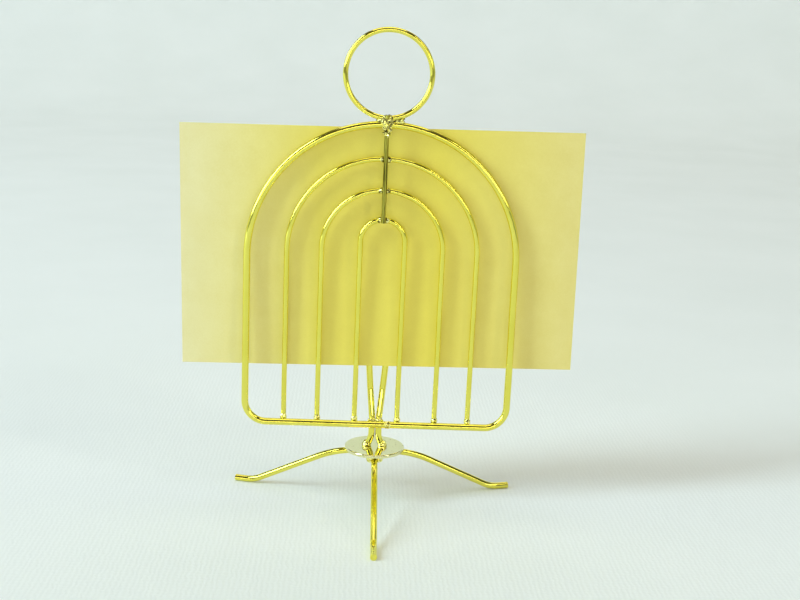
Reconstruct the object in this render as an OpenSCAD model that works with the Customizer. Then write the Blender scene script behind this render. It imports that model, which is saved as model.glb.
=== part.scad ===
// Wire holder for a table number or place card, in the outline of a birdcage.
// A bent-wire cage stands on a three-legged base. The card slips down between
// the cage and a hairpin spring loop behind it.
// Millimetres. +X is to the right as seen from the front, +Y points to the
// back and +Z up. The origin is on the table under the middle of the base disc.

/* [Base] */
// Diameter of the base disc
disc_d = 14; // [11:0.5:24]
// Thickness of the base disc
disc_t = 0.8; // [0.5:0.1:2]
// Height of the top of the base disc above the table
disc_top = 13.2; // [9:0.1:20]
// Diameter of the leg wire
leg_d = 1.5; // [1:0.1:2.5]
// Distance from the middle of the disc to the tip of each leg
leg_reach = 34.4; // [27:0.1:60]
// Distance from the middle of the disc to the corner where a leg turns down
leg_shoulder = 8.1; // [6.5:0.1:14]
// Distance from the tip back to the corner where a leg flattens into its foot
leg_ankle = 4.6; // [4:0.1:8]
// Angle between the front leg and each side leg
leg_spread = 105; // [90:1:130]

/* [Cage] */
// Width across the outside of the cage
cage_w = 62.4; // [48:0.2:90]
// Height of the cage from the middle of its bottom rail to the middle of its crown
cage_h = 69.5; // [55:0.5:110]
// Height of the middle of the bottom rail above the base disc
rail_lift = 5.7; // [4.5:0.1:12]
// Diameter of the cage frame's wire
frame_d = 1.6; // [1:0.1:2.5]
// Bend radius of the cage's two bottom corners
corner_r = 5; // [2:0.5:12]

/* [Arches] */
// Diameter of the arch wire
arch_d = 1.2; // [0.8:0.1:2]
// Width of the large arch between the middles of its sides
large_arch_w = 43; // [34:0.2:46]
// Distance from the cage crown down to the large arch's crown
large_arch_drop = 7.6; // [5:0.1:12]
// Width of the middle arch between the middles of its sides
middle_arch_w = 27.4; // [22:0.2:31]
// Distance from the cage crown down to the middle arch's crown
middle_arch_drop = 14.6; // [10:0.1:20]
// Width of the small arch between the middles of its sides
small_arch_w = 10; // [8:0.2:14]
// Distance from the cage crown down to the small arch's crown
small_arch_drop = 21.2; // [16:0.1:28]

/* [Spine and ring] */
// Diameter of the spine wire
spine_d = 1; // [0.8:0.1:1.6]
// Height of the spine's top end above the middle of the cage crown
spine_rise = 2.1; // [1:0.1:3]
// Outside diameter of the top ring
ring_d = 20.2; // [14:0.2:36]
// Diameter of the ring's wire
ring_wire_d = 1.2; // [0.8:0.1:2]

/* [Spring loop] */
// Diameter of the spring loop's wire
loop_d = 1.5; // [1:0.1:2]
// Height of the loop's top above the middle of the bottom rail
loop_h = 58.1; // [45:0.1:80]
// Width of the loop at its round head
loop_w = 10.8; // [8:0.2:20]
// Distance between the middles of the loop's two splayed feet
loop_foot_w = 3.7; // [3:0.1:5.5]
// Gap left between the loop's legs where they pass the rail
loop_pinch = 0.1; // [0.05:0.05:0.6]

/* [Card] */
// Width of the card
card_w = 90; // [70:1:140]
// Height of the card
card_h = 55; // [40:1:90]
// Thickness of the card
card_t = 0.3; // [0.1:0.05:0.8]
// Height of the card's lower edge above the middle of the bottom rail
card_lift = 13.7; // [12:0.1:24]
// How far the card sits turned in the clip, its right side up
card_turn = 0.7; // [0:0.1:5]

/* [Hidden] */
$fn = 40;
// Facets around a full turn of a bend in the drawn preview
bend_facets = 180;

wire_colour = "#d8c640";
weld_colour = "#9c8f2c";
card_colour = "#e3dc94";

// Gap that solder fills where two wires cross
wire_gap = 0.03;
// Gap that lets the cage turn against the welds that hold its rail
turn_gap = 0.06;
// Free gap on each side of the card
card_gap = 0.12;
// How far a wire swells where a bend begins, so that its lengths are one piece
bend_swell = 0.01;
// Straight lengths shorter than this are left out between two bends
least_length = 0.01;

disc_under = disc_top - disc_t;
leg_start = 2;
leg_inner_length = 0.2;
leg_ankle_r = 8;
leg_top_z = disc_under - leg_d / 2;
leg_slope = atan((leg_top_z - leg_d / 2) / (leg_reach - leg_ankle - leg_shoulder));
leg_shoulder_r = (leg_shoulder - leg_start - leg_inner_length) / tan(leg_slope / 2);
side_angles = [-90, -90 - leg_spread, -90 + leg_spread];
leg_weld_r = 0.9;
leg_weld_sink = 0.45;
leg_weld_out = leg_d / 2 + 0.25;
leg_weld_in = 1.5;

rail_z = disc_top + rail_lift;
crown_z = rail_z + cage_h;
frame_half = (cage_w - frame_d) / 2;
frame_y = -(frame_d / 2 + loop_d / 2 + turn_gap);
spine_y = frame_y - (frame_d + spine_d) / 2 - wire_gap;
arch_foot_y = frame_y + (frame_d + arch_d) / 2 + wire_gap;
arch_crown_y = spine_y + (spine_d + arch_d) / 2 + wire_gap;
arch_tail = frame_d / 4;
arch_widths = [large_arch_w, middle_arch_w, small_arch_w];
arch_drops = [large_arch_drop, middle_arch_drop, small_arch_drop];
ring_r = (ring_d - ring_wire_d) / 2;
ring_y = spine_y + (spine_d + ring_wire_d) / 2 + wire_gap;
ring_z = crown_z + (frame_d + ring_wire_d) / 2 + wire_gap + ring_r;
spine_top = crown_z + spine_rise;

// The card leans on the large arch low down and on the cage frame at its top
card_low = rail_z + card_lift;
card_front_low = arch_y(large_arch_drop, card_low) + arch_d / 2 + card_gap;
card_front_high = frame_y + frame_d / 2 + card_gap;
card_lean = asin((card_front_low - card_front_high) / card_h);

// The loop's legs meet at the rail, step back behind the card and spread
loop_leg_x = (loop_d + loop_pinch) / 2;
loop_foot_top = disc_top + 2.4;
loop_step_low = rail_z + 1.3;
loop_step_high = rail_z + 8;
loop_step_out = 0.65;
loop_top = rail_z + loop_h;
loop_bend_r = 4;
loop_corner_x = loop_w / 2;
loop_side = [loop_corner_x - loop_leg_x - loop_step_out, 0,
    loop_top - loop_step_high];
loop_head_turn = 90 + atan(loop_side.x / loop_side.z);
loop_head_r = loop_corner_x / tan(loop_head_turn / 2);

butt_weld_r = frame_d / 2 + 0.25;
foot_weld_r = arch_d / 2 + 0.32;
loop_weld_r = loop_d / 2 + 0.28;
loop_weld_rise = 0.3;
butt_weld_x = loop_leg_x + loop_weld_r + 1;
spine_weld_r = 0.6;
solder_r = 1.3;
solder_tail = 3.2;
solder_fillet_r = 0.6;
solder_fillet_left = 2.3;
solder_fillet_right = 3.6;

function unit(v) = v / norm(v);

// The corner points before and after corner i of a path
function before(path, i) = path[(i + len(path) - 1) % len(path)];
function after(path, i) = path[(i + 1) % len(path)];

// Angle that a path turns through at corner i
function turn_at(path, i) =
    acos(unit(path[i] - before(path, i)) * unit(after(path, i) - path[i]));

// Distance from corner i back to where its bend begins
function setback(path, radii, i) =
    radii[i] == 0 ? 0 : radii[i] * tan(turn_at(path, i) / 2);

// Middle of an arch's wire, front to back, at height z
function arch_y(drop, z) =
    arch_foot_y - (arch_foot_y - arch_crown_y) * (z - rail_z) / (cage_h - drop);

// Front face of the card at height z
function card_front(z) =
    card_front_low - (z - card_low) * tan(card_lean);

// Middle of the loop's wire, front to back, at height z behind the card
function loop_y(z) =
    card_front(z) + card_t + card_gap + loop_d / 2 + card_gap;

// Moves its children to a frame with the given origin and axis directions
module in_frame(origin, x_dir, y_dir, z_dir) {
    multmatrix([
        [x_dir.x, y_dir.x, z_dir.x, origin.x],
        [x_dir.y, y_dir.y, z_dir.y, origin.y],
        [x_dir.z, y_dir.z, z_dir.z, origin.z]])
        children();
}

// Moves its children to start and points their Z axis along dir
module aimed(start, dir) {
    translate(start)
        rotate([0, acos(dir.z), atan2(dir.y, dir.x)])
            children();
}

// The slight swelling that joins two lengths of a wire that runs along dir there
module seam(start, dir, d) {
    translate(start)
        rotate([0, abs(dir.x) > abs(dir.z) ? 90 : 0, 0])
            sphere(d = d + 2 * bend_swell);
}

// A bend of radius r at the corner from a through b to c
module bend(a, b, c, r, d) {
    along = unit(b - a);
    onward = unit(c - b);
    turn = acos(along * onward);
    axis = unit(cross(along, onward));
    inward = cross(axis, along);
    start = b - along * r * tan(turn / 2);
    in_frame(start + inward * r, -inward, along, axis)
        rotate_extrude(angle = turn, $fn = bend_facets)
            translate([r, 0])
                circle(d = d);
}

// Wire of diameter d along a path of corner points, each with its bend radius.
// A free end has a radius of 0.
module bent_wire(path, radii, d, closed = false) {
    count = len(path);
    for (i = [0 : closed ? count - 1 : count - 2]) {
        next = (i + 1) % count;
        dir = unit(path[next] - path[i]);
        start = path[i] + dir * setback(path, radii, i);
        length = norm(path[next] - start) - setback(path, radii, next);
        if (length > least_length)
            aimed(start, dir)
                cylinder(d = d, h = length);
        if (radii[i] > 0)
            seam(start, dir, d);
        if (radii[next] > 0 && length > least_length)
            seam(start + dir * length, dir, d);
    }
    for (i = [0 : count - 1])
        if (radii[i] > 0)
            bend(before(path, i), path[i], after(path, i), radii[i], d);
}

// The wires without colour, which the welds around them are cut to fit

module leg_wire(angle) {
    rotate([0, 0, angle])
        bent_wire([
            [leg_start, 0, leg_top_z],
            [leg_shoulder, 0, leg_top_z],
            [leg_reach - leg_ankle, 0, leg_d / 2],
            [leg_reach, 0, leg_d / 2]],
            [0, leg_shoulder_r, leg_ankle_r, 0], leg_d);
}

// Everything under the disc's top face, which cuts what stands on it level
module below_disc_top() {
    cylinder(d = disc_d, h = disc_top);
}

module loop_wire() {
    right = [
        [loop_foot_w / 2, 0, disc_top - disc_t / 2],
        [loop_leg_x, 0, loop_foot_top],
        [loop_leg_x, 0, loop_step_low],
        [loop_leg_x + loop_step_out, loop_y(loop_step_high), loop_step_high],
        [loop_corner_x, loop_y(loop_top), loop_top]];
    left = [for (i = [len(right) - 1 : -1 : 0])
        [-right[i].x, right[i].y, right[i].z]];
    difference() {
        bent_wire(concat(right, left),
            [0, loop_bend_r, loop_bend_r, loop_bend_r, loop_head_r,
                loop_head_r, loop_bend_r, loop_bend_r, loop_bend_r, 0], loop_d);
        below_disc_top();
    }
}

module frame_wire() {
    translate([0, frame_y, 0])
        bent_wire([
            [-frame_half, 0, rail_z],
            [-frame_half, 0, crown_z],
            [frame_half, 0, crown_z],
            [frame_half, 0, rail_z]],
            [corner_r, frame_half, frame_half, corner_r], frame_d, closed = true);
}

// An inverted U whose feet stand behind the rail and whose crown meets the spine
module arch_wire(width, drop) {
    rise = cage_h - drop;
    lean = atan((arch_foot_y - arch_crown_y) / rise);
    top = rise / cos(lean);
    translate([0, arch_foot_y, rail_z])
        rotate([lean, 0, 0])
            bent_wire([
                [-width / 2, 0, -arch_tail],
                [-width / 2, 0, top],
                [width / 2, 0, top],
                [width / 2, 0, -arch_tail]],
                [0, width / 2, width / 2, 0], arch_d);
}

module spine_wire() {
    bottom = crown_z - small_arch_drop - arch_d / 2;
    translate([0, spine_y, bottom])
        cylinder(d = spine_d, h = spine_top - bottom);
}

module ring_wire() {
    translate([0, ring_y, ring_z])
        rotate([90, 0, 0])
            rotate_extrude($fn = bend_facets)
                translate([ring_r, 0])
                    circle(d = ring_wire_d);
}

// The pieces of the base

module base_disc() {
    color(wire_colour)
        translate([0, 0, disc_under])
            cylinder(d = disc_d, h = disc_t);
}

module front_leg() {
    color(wire_colour) leg_wire(side_angles[0]);
}

module left_leg() {
    color(wire_colour) leg_wire(side_angles[1]);
}

module right_leg() {
    color(wire_colour) leg_wire(side_angles[2]);
}

// A bead on each side of each leg, in the corner under the disc
module leg_welds() {
    color(weld_colour)
        for (angle = side_angles)
            difference() {
                rotate([0, 0, angle])
                    for (side = [-1, 1])
                        translate([disc_d / 2 - leg_weld_in, side * leg_weld_out,
                            disc_under - leg_weld_sink])
                            sphere(r = leg_weld_r);
                leg_wire(angle);
                base_disc();
            }
}

// The pieces of the spring clip

module spring_loop() {
    color(wire_colour) loop_wire();
}

module loop_foot_welds() {
    color(weld_colour)
        difference() {
            for (side = [-1, 1])
                translate([side * loop_foot_w / 2, 0, disc_top + loop_weld_rise])
                    sphere(r = loop_weld_r);
            loop_wire();
            below_disc_top();
        }
}

// The bead that ties the loop's legs to the back of the rail
module rail_welds() {
    color(weld_colour)
        difference() {
            for (side = [-1, 1])
                translate([side * loop_leg_x, frame_y / 2, rail_z + frame_d / 4])
                    rotate([0, 90, 0])
                        sphere(r = loop_weld_r);
            loop_wire();
            translate([0, frame_y, rail_z])
                rotate([0, 90, 0])
                    cylinder(d = frame_d + 2 * (turn_gap + wire_gap),
                        h = cage_w / 2, center = true);
        }
}

// The pieces of the cage

module cage_frame() {
    color(wire_colour) frame_wire();
}

// The flash where the frame's two ends are butted together on the rail
module frame_butt_weld() {
    color(weld_colour)
        difference() {
            translate([butt_weld_x, frame_y, rail_z])
                sphere(r = butt_weld_r);
            frame_wire();
        }
}

module large_arch() {
    color(wire_colour) arch_wire(large_arch_w, large_arch_drop);
}

module middle_arch() {
    color(wire_colour) arch_wire(middle_arch_w, middle_arch_drop);
}

module small_arch() {
    color(wire_colour) arch_wire(small_arch_w, small_arch_drop);
}

// A bead at each arch foot, on top of the rail
module arch_foot_welds() {
    color(weld_colour)
        for (i = [0 : len(arch_widths) - 1])
            difference() {
                for (side = [-1, 1])
                    translate([side * arch_widths[i] / 2,
                        (arch_foot_y + frame_y + frame_d / 2) / 2,
                        rail_z + frame_d / 2])
                        sphere(r = foot_weld_r);
                arch_wire(arch_widths[i], arch_drops[i]);
                frame_wire();
            }
}

module centre_spine() {
    color(wire_colour) spine_wire();
}

// A bead on each side of the spine where it crosses an arch's crown
module spine_welds() {
    color(weld_colour)
        for (i = [0 : len(arch_widths) - 1])
            difference() {
                for (side = [-1, 1])
                    translate([side * (spine_d / 2 + wire_gap + spine_weld_r / 3),
                        (spine_y + arch_crown_y) / 2, crown_z - arch_drops[i]])
                        rotate([90, 0, 0])
                            sphere(r = spine_weld_r);
                arch_wire(arch_widths[i], arch_drops[i]);
                spine_wire();
            }
}

module top_ring() {
    color(wire_colour) ring_wire();
}

// The solder that joins the ring, the frame's crown and the spine
module crown_solder() {
    seat_z = crown_z + (frame_d + wire_gap) / 2;
    color(weld_colour)
        difference() {
            union() {
                translate([0, (spine_y + frame_y) / 2, seat_z])
                    sphere(r = solder_r);
                translate([0, spine_y, seat_z - solder_tail])
                    cylinder(h = solder_tail, d1 = spine_d + 0.1, d2 = 2 * solder_r - 0.6);
                translate([-solder_fillet_left, frame_y, seat_z])
                    rotate([0, 90, 0])
                        cylinder(r = solder_fillet_r,
                            h = solder_fillet_left + solder_fillet_right);
            }
            frame_wire();
            ring_wire();
            spine_wire();
        }
}

// The card that the holder displays

module place_card() {
    color(card_colour)
        translate([0, card_front_low, card_low])
            rotate([card_lean, 0, 0])
                rotate([0, -card_turn, 0])
                    translate([-card_w / 2, 0, 0])
                        cube([card_w, card_t, card_h]);
}

base_disc();
front_leg();
left_leg();
right_leg();
leg_welds();
spring_loop();
loop_foot_welds();
rail_welds();
cage_frame();
frame_butt_weld();
large_arch();
middle_arch();
small_arch();
arch_foot_welds();
centre_spine();
spine_welds();
top_ring();
crown_solder();
place_card();
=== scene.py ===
from math import acos, atan2, cos, pi, radians, sin, tan

import bmesh
import bpy
from mathutils import Matrix, Vector, noise


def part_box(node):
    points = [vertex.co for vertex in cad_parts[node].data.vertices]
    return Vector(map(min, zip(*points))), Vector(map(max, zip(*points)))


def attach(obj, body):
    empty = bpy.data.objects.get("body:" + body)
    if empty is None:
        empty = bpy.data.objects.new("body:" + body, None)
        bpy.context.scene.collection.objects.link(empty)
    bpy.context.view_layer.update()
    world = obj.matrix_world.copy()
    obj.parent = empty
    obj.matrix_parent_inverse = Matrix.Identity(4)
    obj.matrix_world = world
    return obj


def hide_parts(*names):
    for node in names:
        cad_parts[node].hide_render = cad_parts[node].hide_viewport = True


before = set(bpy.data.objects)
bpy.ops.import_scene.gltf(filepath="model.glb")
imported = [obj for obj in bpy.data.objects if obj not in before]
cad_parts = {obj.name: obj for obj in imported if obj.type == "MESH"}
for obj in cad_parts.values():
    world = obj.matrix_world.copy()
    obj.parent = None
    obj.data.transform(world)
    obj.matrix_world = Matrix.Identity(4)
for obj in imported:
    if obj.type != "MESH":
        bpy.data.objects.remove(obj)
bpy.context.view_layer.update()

MM = 0.001
SEAM = 0.01 * MM          # the CAD wires swell by this where a bend begins
MERGE = 0.005 * MM        # points of a path nearer than this are one
X, Y, Z = Vector((1, 0, 0)), Vector((0, 1, 0)), Vector((0, 0, 1))

# Sockets of a Mix node that share their names with others of the same node
VALUE_A, VALUE_B, COLOUR_A, COLOUR_B = 2, 3, 6, 7
MIXED_COLOUR = 2

# --------------------------------------------------------------------- sizes
FRAME_CORNER_R = 5 * MM
ARCH_D = 1.2 * MM
LOOP_D = 1.5 * MM
LOOP_FOOT_X = 1.85 * MM   # half the distance between the loop's splayed feet
LOOP_LEG_X = 0.8 * MM     # half the distance between its legs at the rail
LOOP_STEP_X = 1.45 * MM   # the same just above the step behind the card
LOOP_HEAD_X = 5.4 * MM    # the same at the round head
LOOP_KINK_RISE = 2.4 * MM
LOOP_STEP_LOW = 1.3 * MM
LOOP_STEP_HIGH = 8 * MM
LOOP_BEND_R = 4 * MM
LOOP_FOOT_SINK = 0.4 * MM
LEG_SHOULDER = 8.1 * MM   # from the disc's middle to where the leg turns down
LEG_ANKLE = 4.6 * MM      # from where it levels out again to its end
LEG_INNER_LENGTH = 0.2 * MM   # straight wire before the shoulder's bend
LEG_ANKLE_R = 8 * MM
LEG_SPREAD = radians(105)

WIRE_FACETS = 40          # facets round a wire
BEND_STEP = radians(2.5)  # turn between two sections of a bend
FEWEST_BEND_STEPS = 4
STRAIGHT_STEP = 1.5 * MM  # distance between two sections of a straight length
CUT_BEVEL = 0.09 * MM     # rounding that plating leaves on a cut end
WIRE_SHARP = radians(50)  # edges that turn more than this stay sharp
SWAY_WAVES = 70           # swings of a hand-bent wire in a metre
SWAY_START = (3.1, 7.7)   # where in the noise its swings are taken
SWAY_SEED = 1             # without it the noise starts from the clock

DISC_TOP_ROLL, DISC_UNDER_ROLL = 0.28 * MM, 0.12 * MM
DISC_ROLL_STEPS = 8
DISC_TOP_RINGS, DISC_UNDER_RINGS = 14, 6
DISC_SHARP = radians(40)
LATHE_SEGMENTS = 192

BEAD_MERGE = 1e-8         # metres between corners of a weld that are one
BEAD_SMOOTHING = 0.5
BEAD_LUMPS = (0.9, 2.1, 3)    # falloff, finer step and octaves of the lumps


def hex_colour(code):
    """An sRGB hex colour as a linear RGBA."""
    parts = [int(code[i:i + 2], 16) / 255 for i in (1, 3, 5)]
    return tuple(p / 12.92 if p <= 0.04045 else ((p + 0.055) / 1.055) ** 2.4
                 for p in parts) + (1.0,)


def add(tree, kind, inputs=None, **settings):
    """Adds a node, sets its properties, and fills or links its inputs."""
    node = tree.nodes.new(kind)
    for key, value in settings.items():
        setattr(node, key, value)
    for key, value in (inputs or {}).items():
        if isinstance(value, bpy.types.NodeSocket):
            tree.links.new(value, node.inputs[key])
        else:
            node.inputs[key].default_value = value
    return node


def fill_ramp(ramp, stops):
    """Gives a ramp node its stops, as pairs of a place and a hex colour."""
    elements = ramp.color_ramp.elements
    while len(elements) < len(stops):
        elements.new(0.5)
    for element, (at, colour) in zip(elements, stops):
        element.position = at
        element.color = hex_colour(colour)


def new_object(name, data):
    """An object for data, linked into the scene."""
    made = bpy.data.objects.new(name, data)
    bpy.context.scene.collection.objects.link(made)
    return made


def shade_smooth(mesh):
    mesh.polygons.foreach_set("use_smooth", [True] * len(mesh.polygons))


def evaluated_mesh(source):
    """A plain mesh of source with its modifiers applied."""
    graph = bpy.context.evaluated_depsgraph_get()
    return bpy.data.meshes.new_from_object(source.evaluated_get(graph),
                                           depsgraph=graph)


# ----------------------------------------------------------------- materials

def new_material(name):
    made = bpy.data.materials.new(name)
    made.use_nodes = True
    made.node_tree.nodes.clear()
    return made, made.node_tree


def gold_plated_wire(name, thin, thick, streaked=False):
    """Bright gold plating on drawn steel wire: a mirror with soft lengthwise
    drawing lines and a faint orange peel, which break its highlights. Thin
    and thick are its colours where the plating is thin or thick, in patches;
    if streaked, they lie along the drawing lines as a painted dark
    reflection with lighter streaks."""
    made, tree = new_material(name)
    unrolled = add(tree, "ShaderNodeAttribute", attribute_name="unrolled")
    place = add(tree, "ShaderNodeTexCoord")
    # drawing lines 0.15 mm apart round the wire and about 6 mm long
    lines_map = add(tree, "ShaderNodeMapping", {
        "Vector": unrolled.outputs["Vector"], "Scale": (160, 6500, 6500)})
    lines = add(tree, "ShaderNodeTexNoise", {
        "Vector": lines_map.outputs[0], "Scale": 1.0, "Detail": 3.0,
        "Roughness": 0.55})
    # peel of the plating, lumps of 0.8 mm
    peel = add(tree, "ShaderNodeTexNoise", {
        "Vector": place.outputs["Object"], "Scale": 1250.0, "Detail": 2.0,
        "Roughness": 0.45})
    # thin and thick plating, patches of 9 mm
    patch = add(tree, "ShaderNodeTexNoise", {
        "Vector": place.outputs["Object"], "Scale": 110.0, "Detail": 3.0})
    streaks = add(tree, "ShaderNodeMapRange", {
        "Value": lines.outputs["Fac"], "From Min": 0.4, "From Max": 0.6})
    tone = add(tree, "ShaderNodeMix", {
        "Factor": streaks.outputs[0] if streaked else patch.outputs["Fac"],
        COLOUR_A: hex_colour(thin), COLOUR_B: hex_colour(thick)},
        data_type="RGBA")
    rough = add(tree, "ShaderNodeMapRange", {
        "Value": lines.outputs["Fac"], "From Min": 0.3, "From Max": 0.7,
        "To Min": 0.05, "To Max": 0.13})
    peel_bump = add(tree, "ShaderNodeBump", {
        "Strength": 0.35, "Distance": 0.00002, "Height": peel.outputs["Fac"]})
    line_bump = add(tree, "ShaderNodeBump", {
        "Strength": 0.3, "Distance": 0.000006, "Height": lines.outputs["Fac"],
        "Normal": peel_bump.outputs[0]})
    shader = add(tree, "ShaderNodeBsdfPrincipled", {
        "Base Color": tone.outputs[MIXED_COLOUR], "Metallic": 1.0,
        "Roughness": rough.outputs[0], "Normal": line_bump.outputs[0]})
    add(tree, "ShaderNodeOutputMaterial", {"Surface": shader.outputs[0]})
    return made


def gold_plated_solder(name, patch_tone, clean):
    """Gold plating over a hand-made solder joint: a grainy, pitted mirror
    whose small lumps glint one by one. The first of its colours lies in
    patches between the grains and is darker than the second."""
    made, tree = new_material(name)
    place = add(tree, "ShaderNodeTexCoord")
    # grains 0.35 mm across
    grain = add(tree, "ShaderNodeTexVoronoi", {
        "Vector": place.outputs["Object"], "Scale": 2900.0,
        "Smoothness": 0.6}, feature="SMOOTH_F1")
    # darker patches between the grains, 0.7 mm across
    patch_noise = add(tree, "ShaderNodeTexNoise", {
        "Vector": place.outputs["Object"], "Scale": 1400.0, "Detail": 3.0})
    spread = add(tree, "ShaderNodeMapRange", {
        "Value": patch_noise.outputs["Fac"], "From Min": 0.4, "From Max": 0.56})
    tone = add(tree, "ShaderNodeMix", {
        "Factor": spread.outputs[0], COLOUR_A: hex_colour(patch_tone),
        COLOUR_B: hex_colour(clean)}, data_type="RGBA")
    bump = add(tree, "ShaderNodeBump", {
        "Strength": 1.0, "Distance": 0.00009,
        "Height": grain.outputs["Distance"]})
    shader = add(tree, "ShaderNodeBsdfPrincipled", {
        "Base Color": tone.outputs[MIXED_COLOUR], "Metallic": 1.0,
        "Roughness": 0.14, "Normal": bump.outputs[0]})
    add(tree, "ShaderNodeOutputMaterial", {"Surface": shader.outputs[0]})
    return made


def polished_gold_disc(axis):
    """A stamped steel disc, buffed and gold-plated: a pale mirror with faint
    buffing rings and a few tarnish freckles."""
    made, tree = new_material("buffed_gold_plated_disc")
    place = add(tree, "ShaderNodeTexCoord")
    centred = add(tree, "ShaderNodeMapping", {
        "Vector": place.outputs["Object"], "Location": (-axis.x, -axis.y, 0)})
    split = add(tree, "ShaderNodeSeparateXYZ", {"Vector": centred.outputs[0]})
    flat = add(tree, "ShaderNodeCombineXYZ", {
        "X": split.outputs[0], "Y": split.outputs[1]})
    radius = add(tree, "ShaderNodeVectorMath", {0: flat.outputs[0]},
                 operation="LENGTH")
    # buffing rings about 0.2 mm apart
    rings = add(tree, "ShaderNodeTexNoise", {
        "W": radius.outputs["Value"], "Scale": 5000.0, "Detail": 2.0},
        noise_dimensions="1D")
    # clouds in the polish, 4 mm across
    cloud = add(tree, "ShaderNodeTexNoise", {
        "Vector": place.outputs["Object"], "Scale": 260.0, "Detail": 4.0})
    # tarnish freckles, the peaks of lumps 0.7 mm across
    freckle = add(tree, "ShaderNodeTexNoise", {
        "Vector": place.outputs["Object"], "Scale": 1500.0, "Detail": 2.0})
    spots = add(tree, "ShaderNodeMapRange", {
        "Value": freckle.outputs["Fac"], "From Min": 0.66, "From Max": 0.74})
    tone = add(tree, "ShaderNodeMix", {
        "Factor": spots.outputs[0], COLOUR_A: hex_colour("#F0EBB4"),
        COLOUR_B: hex_colour("#A8953A")}, data_type="RGBA")
    rough = add(tree, "ShaderNodeMapRange", {
        "Value": cloud.outputs["Fac"], "From Min": 0.35, "From Max": 0.7,
        "To Min": 0.04, "To Max": 0.13})
    bump = add(tree, "ShaderNodeBump", {
        "Strength": 0.15, "Distance": 0.000004,
        "Height": rings.outputs["Fac"]})
    shader = add(tree, "ShaderNodeBsdfPrincipled", {
        "Base Color": tone.outputs[MIXED_COLOUR], "Metallic": 1.0,
        "Roughness": rough.outputs[0], "Normal": bump.outputs[0]})
    add(tree, "ShaderNodeOutputMaterial", {"Surface": shader.outputs[0]})
    return made


def pearl_card(half_width):
    """Uncoated card printed with a gold pearl ink: warm yellow paper under a
    soft white lustre, with fine felt grain, a faint mottle and a painted
    sheen that makes its ends paler."""
    made, tree = new_material("gold_pearl_card_stock")
    place = add(tree, "ShaderNodeTexCoord")
    # felt grain 0.35 mm across
    felt = add(tree, "ShaderNodeTexNoise", {
        "Vector": place.outputs["Object"], "Scale": 2800.0, "Detail": 4.0,
        "Roughness": 0.6})
    # mottle of the ink, patches of 6 mm
    mottle = add(tree, "ShaderNodeTexNoise", {
        "Vector": place.outputs["Object"], "Scale": 160.0, "Detail": 5.0,
        "Roughness": 0.6})
    mixed = add(tree, "ShaderNodeMix", {
        "Factor": 0.4, VALUE_A: mottle.outputs["Fac"],
        VALUE_B: felt.outputs["Fac"]}, data_type="FLOAT")
    spread = add(tree, "ShaderNodeMapRange", {
        "Value": mixed.outputs[0], "From Min": 0.3, "From Max": 0.7})
    # painted sheen: the card is painted paler over the 30 mm at each end, most
    # at the left end, standing in for the lustre that the light from the left
    # raises
    split = add(tree, "ShaderNodeSeparateXYZ", {
        "Vector": place.outputs["Object"]})
    along = add(tree, "ShaderNodeMapRange", {
        "Value": split.outputs["X"], "From Min": -half_width,
        "From Max": half_width})
    painted_sheen = add(tree, "ShaderNodeValToRGB", {"Fac": along.outputs[0]})
    fill_ramp(painted_sheen, ((0.02, "#F2EAB2"), (0.34, "#F1E35A"),
                       (0.64, "#F3E350"), (0.96, "#EEE08A")))
    tone = add(tree, "ShaderNodeMix", {
        "Factor": spread.outputs[0], COLOUR_A: painted_sheen.outputs[0],
        COLOUR_B: hex_colour("#F7F4E0")},
        data_type="RGBA", blend_type="MULTIPLY")
    bump = add(tree, "ShaderNodeBump", {
        "Strength": 0.25, "Distance": 0.00004, "Height": felt.outputs["Fac"]})
    shader = add(tree, "ShaderNodeBsdfPrincipled", {
        "Base Color": tone.outputs[MIXED_COLOUR], "Roughness": 0.6,
        "IOR": 1.4, "Coat Weight": 1.0, "Coat Roughness": 0.5, "Coat IOR": 1.6,
        "Normal": bump.outputs[0], "Coat Normal": bump.outputs[0]})
    add(tree, "ShaderNodeOutputMaterial", {"Surface": shader.outputs[0]})
    return made


def table_cloth():
    """White cotton cloth with a plain weave, which fades into an even white
    away from the holder."""
    made, tree = new_material("white_cotton_cloth")
    place = add(tree, "ShaderNodeTexCoord")
    # threads 1.1 and 1.3 mm apart, coarser than real ones so that they show
    warp = add(tree, "ShaderNodeTexWave", {
        "Vector": place.outputs["Object"], "Scale": 285.0, "Distortion": 4.5,
        "Detail": 3.0, "Detail Scale": 1.5}, bands_direction="X")
    weft = add(tree, "ShaderNodeTexWave", {
        "Vector": place.outputs["Object"], "Scale": 240.0, "Distortion": 6.0,
        "Detail": 3.0, "Detail Scale": 2.0}, bands_direction="Y")
    weave = add(tree, "ShaderNodeMix", {
        "Factor": 0.35, VALUE_A: warp.outputs["Fac"],
        VALUE_B: weft.outputs["Fac"]}, data_type="FLOAT")
    # faint clouds of tone, 70 mm across
    soft = add(tree, "ShaderNodeTexNoise", {
        "Vector": place.outputs["Object"], "Scale": 14.0, "Detail": 4.0})
    # the weave shows within 60 mm and is gone at 300 mm
    distance = add(tree, "ShaderNodeVectorMath", {0: place.outputs["Object"]},
                   operation="LENGTH")
    near = add(tree, "ShaderNodeMapRange", {
        "Value": distance.outputs["Value"], "From Min": 0.06,
        "From Max": 0.3, "To Min": 0.17, "To Max": 0.0})
    tone = add(tree, "ShaderNodeMix", {
        "Factor": soft.outputs["Fac"], COLOUR_A: hex_colour("#E9EEEC"),
        COLOUR_B: hex_colour("#F2F6F5")}, data_type="RGBA")
    bump = add(tree, "ShaderNodeBump", {
        "Strength": near.outputs[0], "Distance": 0.0002,
        "Height": weave.outputs[0]})
    shader = add(tree, "ShaderNodeBsdfPrincipled", {
        "Base Color": tone.outputs[MIXED_COLOUR], "Roughness": 0.9,
        "Specular IOR Level": 0.2, "Normal": bump.outputs[0]})
    add(tree, "ShaderNodeOutputMaterial", {"Surface": shader.outputs[0]})
    return made


# --------------------------------------------------------------------- wires

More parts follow.
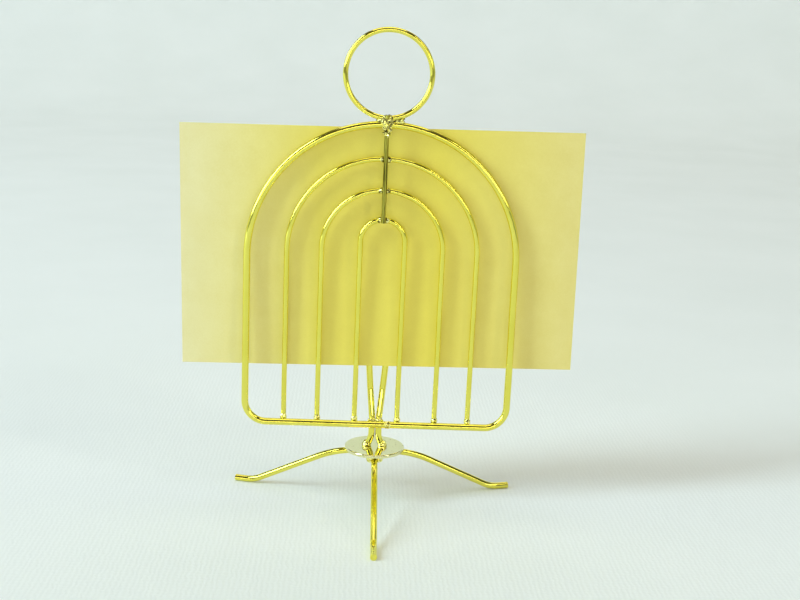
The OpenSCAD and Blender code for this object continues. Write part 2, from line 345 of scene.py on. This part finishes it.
def bent_path(corners, radii, closed=False):
    """Points along a wire that runs through corners and turns at each with
    its bend radius. A free end has a radius of 0."""
    corners = [Vector(c) for c in corners]
    count = len(corners)
    runs = []
    for i, corner in enumerate(corners):
        if radii[i] == 0:
            runs.append([corner])
            continue
        into = (corner - corners[i - 1]).normalized()
        out = (corners[(i + 1) % count] - corner).normalized()
        turn = acos(max(-1, min(1, into.dot(out))))
        start = corner - into * radii[i] * tan(turn / 2)
        inward = (out - into * into.dot(out)).normalized()
        steps = max(FEWEST_BEND_STEPS, round(turn / BEND_STEP))
        runs.append([start + into * radii[i] * sin(turn * k / steps)
                     + inward * radii[i] * (1 - cos(turn * k / steps))
                     for k in range(steps + 1)])
    points = []
    for i, run in enumerate(runs):
        points += run
        if i < count - 1 or closed:
            end = runs[(i + 1) % count][0]
            gap = end - run[-1]
            parts = int(gap.length / STRAIGHT_STEP)
            points += [run[-1] + gap * k / parts for k in range(1, parts)]
    clean = [points[0]]
    for point in points[1:]:
        if (point - clean[-1]).length > MERGE:
            clean.append(point)
    if closed and (clean[0] - clean[-1]).length < MERGE:
        clean.pop()
    return clean


def sweep_tree():
    """Geometry Nodes that sweep a round wire along a line of points and keep
    where each point would be on the wire laid straight."""
    tree = bpy.data.node_groups.new("sweep_wire", "GeometryNodeTree")
    for name, kind, way in (("Path", "NodeSocketGeometry", "INPUT"),
                            ("Wire diameter", "NodeSocketFloat", "INPUT"),
                            ("Facets round", "NodeSocketInt", "INPUT"),
                            ("Finish", "NodeSocketMaterial", "INPUT"),
                            ("Wire", "NodeSocketGeometry", "OUTPUT")):
        tree.interface.new_socket(name, in_out=way, socket_type=kind)
    given = add(tree, "NodeGroupInput")
    line = add(tree, "GeometryNodeMeshToCurve", {0: given.outputs["Path"]})
    girth = add(tree, "GeometryNodeInputNamedAttribute", {"Name": "girth"},
                data_type="FLOAT")
    thick = add(tree, "GeometryNodeSetCurveRadius", {
        "Curve": line.outputs[0], "Radius": girth.outputs[0]})
    measure = add(tree, "GeometryNodeSplineParameter")
    along = add(tree, "GeometryNodeCaptureAttribute")
    along.capture_items.new("FLOAT", "along")
    tree.links.new(thick.outputs[0], along.inputs["Geometry"])
    tree.links.new(measure.outputs["Length"], along.inputs["along"])
    half = add(tree, "ShaderNodeMath", {0: given.outputs["Wire diameter"],
                                        1: 0.5}, operation="MULTIPLY")
    section = add(tree, "GeometryNodeCurvePrimitiveCircle", {
        "Resolution": given.outputs["Facets round"],
        "Radius": half.outputs[0]})
    around = add(tree, "GeometryNodeCaptureAttribute")
    around.capture_items.new("FLOAT", "around")
    tree.links.new(section.outputs[0], around.inputs["Geometry"])
    tree.links.new(measure.outputs["Factor"], around.inputs["around"])
    tube = add(tree, "GeometryNodeCurveToMesh", {
        "Curve": along.outputs["Geometry"],
        "Profile Curve": around.outputs["Geometry"], "Fill Caps": True})
    angle = add(tree, "ShaderNodeMath", {0: around.outputs["around"],
                                         1: 2 * pi}, operation="MULTIPLY")
    across = []
    for operation in ("COSINE", "SINE"):
        wave = add(tree, "ShaderNodeMath", {0: angle.outputs[0]},
                   operation=operation)
        across.append(add(tree, "ShaderNodeMath", {
            0: wave.outputs[0], 1: half.outputs[0]}, operation="MULTIPLY"))
    unrolled = add(tree, "ShaderNodeCombineXYZ", {
        "X": along.outputs["along"], "Y": across[0].outputs[0],
        "Z": across[1].outputs[0]})
    kept = add(tree, "GeometryNodeStoreNamedAttribute", {
        "Geometry": tube.outputs[0], "Name": "unrolled",
        "Value": unrolled.outputs[0]},
        data_type="FLOAT_VECTOR", domain="POINT")
    real = add(tree, "GeometryNodeRealizeInstances", {0: kept.outputs[0]})
    painted = add(tree, "GeometryNodeSetMaterial", {
        "Geometry": real.outputs[0], "Material": given.outputs["Finish"]})
    add(tree, "NodeGroupOutput", {0: painted.outputs[0]})
    return tree


def tube_mesh(name, points, diameter, finish, closed=False):
    """A plain mesh of the wire along points. Girth narrows its cut ends."""
    line = bpy.data.meshes.new(name)
    count = len(points)
    edges = [(i, i + 1) for i in range(count - 1)]
    line.from_pydata(points, edges + ([(count - 1, 0)] if closed else []), [])
    girth = line.attributes.new("girth", "FLOAT", "POINT")
    thickness = [1.0] * count
    if not closed:
        thickness[0] = thickness[-1] = 1 - 2 * CUT_BEVEL / diameter
    girth.data.foreach_set("value", thickness)
    path = new_object(name, line)
    sweep = path.modifiers.new("sweep", "NODES")
    sweep.node_group = SWEEP
    sockets = {s.name: s.identifier for s in SWEEP.interface.items_tree
               if s.in_out == "INPUT"}
    sweep[sockets["Wire diameter"]] = diameter
    sweep[sockets["Facets round"]] = WIRE_FACETS
    sweep[sockets["Finish"]] = finish
    mesh = evaluated_mesh(path)
    bpy.data.objects.remove(path)
    bpy.data.meshes.remove(line)
    mesh.name = name
    shade_smooth(mesh)
    mesh.set_sharp_from_angle(angle=WIRE_SHARP)
    return mesh


def piece(name, mesh, body, slot, *nodes):
    """An object for mesh that rides on body and replaces CAD nodes."""
    made = new_object(name, mesh)
    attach(made, body)
    if nodes:
        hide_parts(*nodes)
    return made


def cut_ends(points):
    """The path with a point close to each end, where the bevel begins."""
    first = points[0] + (points[1] - points[0]).normalized() * CUT_BEVEL
    last = points[-1] + (points[-2] - points[-1]).normalized() * CUT_BEVEL
    return [points[0], first] + points[1:-1] + [last, points[-1]]


def wire(name, corners, radii, diameter, body, closed=False, sway=0.0,
         finish=None):
    """A bent wire that replaces the CAD node of the same name. Sway is how far
    hand bending leaves it from a true line."""
    points = bent_path(corners, radii, closed)
    start = Vector((len(name), *SWAY_START))
    for i, point in enumerate(points):
        drift = noise.noise_vector(point * SWAY_WAVES + start)
        points[i] = point + drift * sway
    if not closed:
        points = cut_ends(points)
    mesh = tube_mesh(name + "_wire", points, diameter, finish or GOLD_WIRE,
                     closed)
    return piece(name + "_wire", mesh, body, "gold_wire", name)


# --------------------------------------------------------------------- welds

def lumpy_weld(node, body, grow, rough, grain, voxel=0.07, lines=(), wire_r=0,
               keep=1.0, finish=None):
    """The CAD weld as a real bead: remeshed evenly, grown into the wires it
    joins, and roughened. Sizes are in millimetres. Where lines are given, as
    a point and a direction each in metres, the bead's height above the wire
    on the nearest one is multiplied by keep."""
    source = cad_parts[node]
    shape = bmesh.new()
    shape.from_mesh(source.data)
    bmesh.ops.remove_doubles(shape, verts=shape.verts, dist=BEAD_MERGE)
    bmesh.ops.scale(shape, vec=(1 / MM,) * 3, verts=shape.verts)
    rough_mesh = bpy.data.meshes.new(node)
    shape.to_mesh(rough_mesh)
    shape.free()
    holder = new_object(node + "_work", rough_mesh)
    remesh = holder.modifiers.new("even", "REMESH")
    remesh.mode = "VOXEL"
    remesh.voxel_size = voxel
    mesh = evaluated_mesh(holder)
    bpy.data.objects.remove(holder)
    bpy.data.meshes.remove(rough_mesh)
    shape = bmesh.new()
    shape.from_mesh(mesh)
    bmesh.ops.smooth_vert(shape, verts=shape.verts, factor=BEAD_SMOOTHING,
                          use_axis_x=True, use_axis_y=True, use_axis_z=True)
    shape.normal_update()
    moved = []
    for vert in shape.verts:
        swell = noise.fractal(vert.co / grain, *BEAD_LUMPS)
        moved.append(vert.co + vert.normal * (grow + rough * swell))
    for vert, place in zip(shape.verts, moved):
        vert.co = place * MM
        spokes = [(vert.co - start) - along * (vert.co - start).dot(along)
                  for start, along in lines]
        if spokes:
            spoke = min(spokes, key=lambda v: v.length)
            if spoke.length > wire_r:
                vert.co -= spoke * ((1 - keep) * (1 - wire_r / spoke.length))
    shape.to_mesh(mesh)
    shape.free()
    mesh.name = node + "_bead"
    shade_smooth(mesh)
    mesh.materials.clear()
    mesh.materials.append(finish or CLEAN_SOLDER)
    return piece(node + "_bead", mesh, body, "solder_bead", node)


def turned(name, axis, profile, first_z, last_z=None):
    """A smooth mesh turned on a lathe: profile is (radius, z) pairs, closed at
    the axis at first_z and, if last_z is given, at last_z."""
    shape = bmesh.new()
    angles = [2 * pi * k / LATHE_SEGMENTS for k in range(LATHE_SEGMENTS)]
    rings = [[shape.verts.new((axis.x + radius * cos(angle),
                               axis.y + radius * sin(angle), z))
              for angle in angles] for radius, z in profile]
    for inner, outer in zip(rings, rings[1:]):
        for k in range(LATHE_SEGMENTS):
            n = (k + 1) % LATHE_SEGMENTS
            shape.faces.new((inner[k], outer[k], outer[n], inner[n]))
    for ring, z in ((rings[0], first_z), (rings[-1], last_z)):
        if z is not None:
            middle = shape.verts.new((axis.x, axis.y, z))
            for k in range(LATHE_SEGMENTS):
                n = (k + 1) % LATHE_SEGMENTS
                shape.faces.new((ring[k], ring[n], middle))
    bmesh.ops.recalc_face_normals(shape, faces=shape.faces)
    mesh = bpy.data.meshes.new(name)
    shape.to_mesh(mesh)
    shape.free()
    shade_smooth(mesh)
    return mesh


# ---------------------------------------------------------------- the object

noise.seed_set(SWAY_SEED)
SWEEP = sweep_tree()
GOLD_WIRE = gold_plated_wire(
    "gold_plated_drawn_steel_wire", "#EADD4C", "#F8F178")
# Painted reflection: the spine's wire is painted darker, in streaks along its
# drawing lines, standing in for the dark room that it mirrors
PAINTED_DARK_WIRE = gold_plated_wire(
    "gold_wire_with_painted_dark_reflection", "#38340C", "#CFC552", streaked=True)
CLEAN_SOLDER = gold_plated_solder("gold_plated_solder", "#D9CC5E", "#FFFBA8")
# a solder that is darker in patches, for the spine's welds and the crown
PATCHY_DARK_SOLDER = gold_plated_solder(
    "gold_plated_solder_dark_patches", "#564B14", "#FFF9A0")
low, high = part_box("place_card")
PEARL_CARD = pearl_card((high.x - low.x) / 2)

# The cage's outline
low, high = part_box("cage_frame")
frame_d = high.y - low.y - 2 * SEAM
frame_y = (low.y + high.y) / 2
frame_inset = Vector((SEAM + frame_d / 2, 0, SEAM + frame_d / 2))
frame_low, frame_high = low + frame_inset, high - frame_inset
rail_z, crown_z = frame_low.z, frame_high.z
frame_half = (frame_high.x - frame_low.x) / 2
wire("cage_frame",
     [(-frame_half, frame_y, rail_z), (-frame_half, frame_y, crown_z),
      (frame_half, frame_y, crown_z), (frame_half, frame_y, rail_z)],
     [FRAME_CORNER_R, frame_half, frame_half, FRAME_CORNER_R],
     frame_d, "cage", closed=True, sway=0.05 * MM)

# The arches lean from their feet behind the rail to their crowns
arch_feet = []
for name in ("large_arch", "middle_arch", "small_arch"):
    low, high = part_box(name)
    half = (high.x - low.x - ARCH_D) / 2 - SEAM
    foot_y, crown_y = high.y - ARCH_D / 2, low.y + ARCH_D / 2
    top = high.z - ARCH_D / 2
    arch_feet += [(Vector((side * half, foot_y, low.z)), Z)
                  for side in (-1, 1)]
    wire(name,
         [(-half, foot_y, low.z), (-half, crown_y, top),
          (half, crown_y, top), (half, foot_y, low.z)],
         [0, half, half, 0], ARCH_D, "cage", sway=0.06 * MM)

# The spine and the ring
low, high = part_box("centre_spine")
spine_y = (low.y + high.y) / 2
# the spine's wire is painted darker in streaks, a painted dark reflection
wire("centre_spine", [(0, spine_y, low.z), (0, spine_y, high.z)], [0, 0],
     high.x - low.x, "cage", sway=0.04 * MM, finish=PAINTED_DARK_WIRE)

low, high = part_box("top_ring")
ring_d = high.y - low.y
ring_half = (high.x - low.x - ring_d) / 2
ring_z = (low.z + high.z) / 2
ring_y = (low.y + high.y) / 2
wire("top_ring",
     [(-ring_half, ring_y, ring_z - ring_half),
      (-ring_half, ring_y, ring_z + ring_half),
      (ring_half, ring_y, ring_z + ring_half),
      (ring_half, ring_y, ring_z - ring_half)],
     [ring_half] * 4, ring_d, "cage", closed=True, sway=0.05 * MM)

# The spring loop: a foot on the disc, a kink, the two legs tied to the rail, a
# step back behind the card and a round head
low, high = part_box("spring_loop")
disc_low, disc_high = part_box("base_disc")
loop_back = high.y - LOOP_D / 2 - SEAM
loop_top = high.z - LOOP_D / 2 - SEAM
# the middle of the head's depth, which the box doesn't give
head = [v.co.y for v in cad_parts["spring_loop"].data.vertices
        if v.co.z > high.z - LOOP_D]
head_y = (min(head) + max(head)) / 2
right_side = [
    (LOOP_FOOT_X, 0, disc_high.z - LOOP_FOOT_SINK),
    (LOOP_LEG_X, 0, disc_high.z + LOOP_KINK_RISE),
    (LOOP_LEG_X, 0, rail_z + LOOP_STEP_LOW),
    (LOOP_STEP_X, loop_back, rail_z + LOOP_STEP_HIGH),
    (LOOP_HEAD_X, head_y, loop_top)]
slope = atan2(LOOP_HEAD_X - LOOP_STEP_X, loop_top - rail_z - LOOP_STEP_HIGH)
head_r = LOOP_HEAD_X / tan((pi / 2 + slope) / 2)
wire("spring_loop",
     right_side + [(-x, y, z) for x, y, z in reversed(right_side)],
     [0, LOOP_BEND_R, LOOP_BEND_R, LOOP_BEND_R, head_r,
      head_r, LOOP_BEND_R, LOOP_BEND_R, LOOP_BEND_R, 0],
     LOOP_D, "base")

# The legs
low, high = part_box("front_leg")
leg_d = high.x - low.x - 2 * SEAM
leg_top = high.z - leg_d / 2 - SEAM
leg_start, leg_reach = -high.y, -low.y
leg_slope = atan2(leg_top - leg_d / 2, leg_reach - LEG_ANKLE - LEG_SHOULDER)
shoulder_r = (LEG_SHOULDER - leg_start - LEG_INNER_LENGTH) / tan(leg_slope / 2)
for name, turn in (("front_leg", 0), ("left_leg", -LEG_SPREAD),
                   ("right_leg", LEG_SPREAD)):
    out = Matrix.Rotation(turn, 3, "Z") @ -Y
    wire(name,
         [out * leg_start + Z * leg_top, out * LEG_SHOULDER + Z * leg_top,
          out * (leg_reach - LEG_ANKLE) + Z * leg_d / 2,
          out * leg_reach + Z * leg_d / 2],
         [0, shoulder_r, LEG_ANKLE_R, 0], leg_d, "base")

# The disc: a stamped blank with one rolled edge and one sharper edge
disc_axis = (disc_low + disc_high) / 2
disc_r = (disc_high.x - disc_low.x) / 2
profile = [(disc_r * k / DISC_TOP_RINGS, disc_high.z)
           for k in range(1, DISC_TOP_RINGS)]
profile = [(r, z) for r, z in profile if r < disc_r - DISC_TOP_ROLL]
turns = [pi / 2 * k / DISC_ROLL_STEPS for k in range(DISC_ROLL_STEPS + 1)]
profile += [(disc_r - DISC_TOP_ROLL + DISC_TOP_ROLL * sin(turn),
             disc_high.z - DISC_TOP_ROLL + DISC_TOP_ROLL * cos(turn))
            for turn in turns]
profile += [(disc_r - DISC_UNDER_ROLL + DISC_UNDER_ROLL * cos(turn),
             disc_low.z + DISC_UNDER_ROLL - DISC_UNDER_ROLL * sin(turn))
            for turn in turns]
profile += [(disc_r * k / DISC_UNDER_RINGS, disc_low.z)
            for k in range(DISC_UNDER_RINGS - 1, 0, -1)]
disc_mesh = turned("base_disc_plate", disc_axis, profile,
                   disc_high.z, disc_low.z)
disc_mesh.set_sharp_from_angle(angle=DISC_SHARP)
disc_mesh.materials.append(polished_gold_disc(disc_axis))
piece("base_disc_plate", disc_mesh, "base", "polished_disc", "base_disc")

# The welds and the solder
lumpy_weld("leg_welds", "base", grow=0.06, rough=0.10, grain=0.8)
lumpy_weld("loop_foot_welds", "base", grow=0.06, rough=0.12, grain=0.7)
lumpy_weld("rail_welds", "base", grow=0.04, rough=0.12, grain=0.7)
lumpy_weld("frame_butt_weld", "cage", grow=0.08, rough=0.10, grain=0.6,
           lines=[(Vector((0, frame_y, rail_z)), X)], wire_r=frame_d / 2,
           keep=0.35)
lumpy_weld("arch_foot_welds", "cage", grow=0.04, rough=0.12, grain=0.7,
           lines=arch_feet, wire_r=ARCH_D / 2, keep=0.5)
lumpy_weld("spine_welds", "cage", grow=0.1, rough=0.10, grain=0.5,
           finish=PATCHY_DARK_SOLDER)
lumpy_weld("crown_solder", "cage", grow=0.06, rough=0.4, grain=0.4,
           voxel=0.055, finish=PATCHY_DARK_SOLDER)

# The card keeps its CAD shape and gets its own finish
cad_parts["place_card"].data.materials.clear()
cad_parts["place_card"].data.materials.append(PEARL_CARD)

# ----------------------------------------------------------------- the stage

# The cloth lies flat, then turns up all round into a low wall. Sizes are in
# metres.
CLOTH_MIDDLE = Vector((0, -0.9))
CLOTH_RINGS = (0.15, 0.4, 0.8, 1.25)
CLOTH_FLAT_R, CLOTH_TURN_R, CLOTH_TOP = 1.9, 0.5, 1.0
CLOTH_TURN_STEPS = 20
turns = [pi / 2 * k / CLOTH_TURN_STEPS for k in range(CLOTH_TURN_STEPS + 1)]
profile = [(radius, 0.0) for radius in CLOTH_RINGS]
profile += [(CLOTH_FLAT_R + CLOTH_TURN_R * sin(turn),
             CLOTH_TURN_R - CLOTH_TURN_R * cos(turn)) for turn in turns]
profile.append((CLOTH_FLAT_R + CLOTH_TURN_R, CLOTH_TOP))
cloth = turned("cloth", CLOTH_MIDDLE, profile, 0.0)
cloth.materials.append(table_cloth())
floor = new_object("cloth", cloth)

# --------------------------------------------------------------------- light

scene = bpy.context.scene
scene.view_settings.view_transform = "Standard"

# A dim warm room, darker towards the floor
world = bpy.data.worlds.new("studio")
scene.world = world
world.use_nodes = True
tree = world.node_tree
tree.nodes.clear()
place = add(tree, "ShaderNodeTexCoord")
split = add(tree, "ShaderNodeSeparateXYZ", {
    "Vector": place.outputs["Generated"]})
ramp = add(tree, "ShaderNodeValToRGB", {"Fac": split.outputs["Z"]})
fill_ramp(ramp, ((0.0, "#211F12"), (0.1, "#2B2918"), (0.5, "#444230"),
                 (1.0, "#6E6C5C")))
shade = add(tree, "ShaderNodeBackground", {
    "Color": ramp.outputs[0], "Strength": 1.0})
add(tree, "ShaderNodeOutputWorld", {"Surface": shade.outputs[0]})


def window(name, azimuth, elevation, distance, width, height, power, colour,
           aim=(0, 0, 0.06)):
    """A soft light that faces aim, in degrees, metres and watts. Azimuth 0 is
    in front of the holder and 90 to its left."""
    data = bpy.data.lights.new(name, "AREA")
    data.shape, data.size, data.size_y = "RECTANGLE", width, height
    data.energy = power
    data.color = hex_colour(colour)[:3]
    a, e = radians(azimuth), radians(elevation)
    way = Vector((-sin(a) * cos(e), -cos(a) * cos(e), sin(e)))
    made = new_object(name, data)
    made.location = Vector(aim) + way * distance
    made.rotation_euler = (-way).to_track_quat("-Z", "Y").to_euler()
    made.visible_camera = False


window("left_window", 69, 30, 1.9, 0.41, 1.6, 33, "#D6ECF8")
window("right_window", -54, 30, 1.8, 0.18, 1.3, 5.2, "#FFFBE6")
window("front_strip", 4, 8, 1.5, 2.2, 0.12, 5, "#FFF6D4")
window("ceiling_panel", 0, 88, 1.6, 1.3, 1.1, 7.2, "#FFFBF6")
window("backdrop_panel", 180, 70, 1.5, 1.8, 0.6, 5.4, "#FFF8F0",
       aim=(0.2, 0.8, 0.1))

# -------------------------------------------------------------------- camera

CAMERA_AT = Vector((-5.92, -267.81, 110.02)) * MM
CAMERA_PITCH, CAMERA_TURN = radians(12.93), radians(-2.24)
CAMERA_ROLL = radians(2.49)
LENS_MM, SENSOR_MM = 54, 36
NEAR_CLIP = 10 * MM
lens = bpy.data.cameras.new("camera")
lens.lens, lens.sensor_width = LENS_MM, SENSOR_MM
lens.clip_start = NEAR_CLIP
camera = new_object("camera", lens)
scene.camera = camera
ahead = Vector((-sin(CAMERA_TURN) * cos(CAMERA_PITCH),
                cos(CAMERA_TURN) * cos(CAMERA_PITCH), -sin(CAMERA_PITCH)))
level = ahead.cross(Z).normalized()
upright = level.cross(ahead)
aside = level * cos(CAMERA_ROLL) + upright * sin(CAMERA_ROLL)
above = upright * cos(CAMERA_ROLL) - level * sin(CAMERA_ROLL)
camera.matrix_world = Matrix.Translation(CAMERA_AT) @ Matrix(
    (aside, above, -ahead)).transposed().to_4x4()
